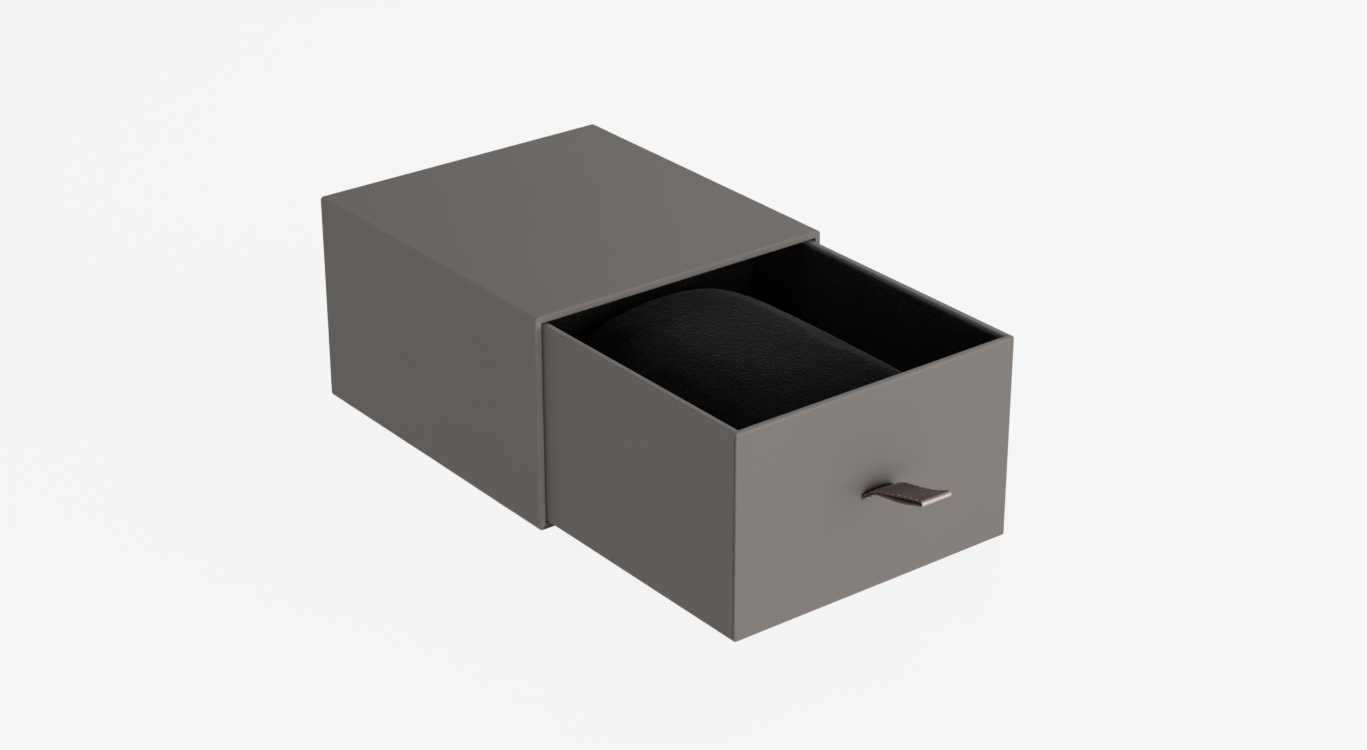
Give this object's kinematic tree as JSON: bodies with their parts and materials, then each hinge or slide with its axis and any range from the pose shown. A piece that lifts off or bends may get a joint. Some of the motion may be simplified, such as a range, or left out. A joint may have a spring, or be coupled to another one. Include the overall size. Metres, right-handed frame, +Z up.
{
  "type": "sliding drawer gift box",
  "caption": "Rectangular paper-wrapped sleeve open at both ends, with a suede-lined sliding drawer, a ribbon loop pull through a slit in its front and a loose soft pillow for a watch.",
  "frame": {"origin": "centre of the sleeve's underside, on the surface it stands on", "axes": "+Z up; the drawer opens towards -Y; X is across the mouth"},
  "size_m": [0.1, 0.2159, 0.065],
  "materials": {
    "taupe_paper": "matte",
    "greyboard": "matte",
    "kraft_tape": "matte",
    "black_suede": "matte",
    "pillow_suede": "matte",
    "foam": "matte",
    "satin_ribbon": "satin"
  },
  "bodies": {
    "sleeve": {"sleeve_top_board": "greyboard", "sleeve_bottom_board": "greyboard", "sleeve_left_board": "greyboard", "sleeve_right_board": "greyboard", "sleeve_corner_stays": "kraft_tape", "sleeve_wrap": "taupe_paper", "sleeve_liner": "taupe_paper", "sleeve_base_sheet": "taupe_paper"},
    "drawer": {"drawer_base_board": "greyboard", "drawer_front_board": "greyboard", "drawer_back_board": "greyboard", "drawer_left_board": "greyboard", "drawer_right_board": "greyboard", "drawer_corner_stays": "kraft_tape", "drawer_wrap": "taupe_paper", "base_lining": "black_suede", "front_lining": "black_suede", "back_lining": "black_suede", "left_lining": "black_suede", "right_lining": "black_suede", "ribbon_tails": "satin_ribbon", "ribbon_patch": "kraft_tape"},
    "ribbon": {"ribbon_loop": "satin_ribbon"},
    "pillow": {"pillow_cover": "pillow_suede", "pillow_core": "foam"}
  },
  "joints": [
    {"name": "drawer_slide", "type": "slide", "parent": "sleeve", "child": "drawer", "axis": [0, -1, 0], "range_m": [-0.083, 0.029]},
    {"name": "pillow_lift", "type": "slide", "parent": "drawer", "child": "pillow", "axis": [0, 0, 1], "range_m": [0, 0.0085]},
    {"name": "ribbon_swing", "type": "hinge", "parent": "drawer", "child": "ribbon", "pos_m": [0, -0.138, 0.03125], "axis": [-1, 0, 0], "range_deg": [-60, 35], "stiffness_Nm_per_rad": 0.0005}
  ]
}
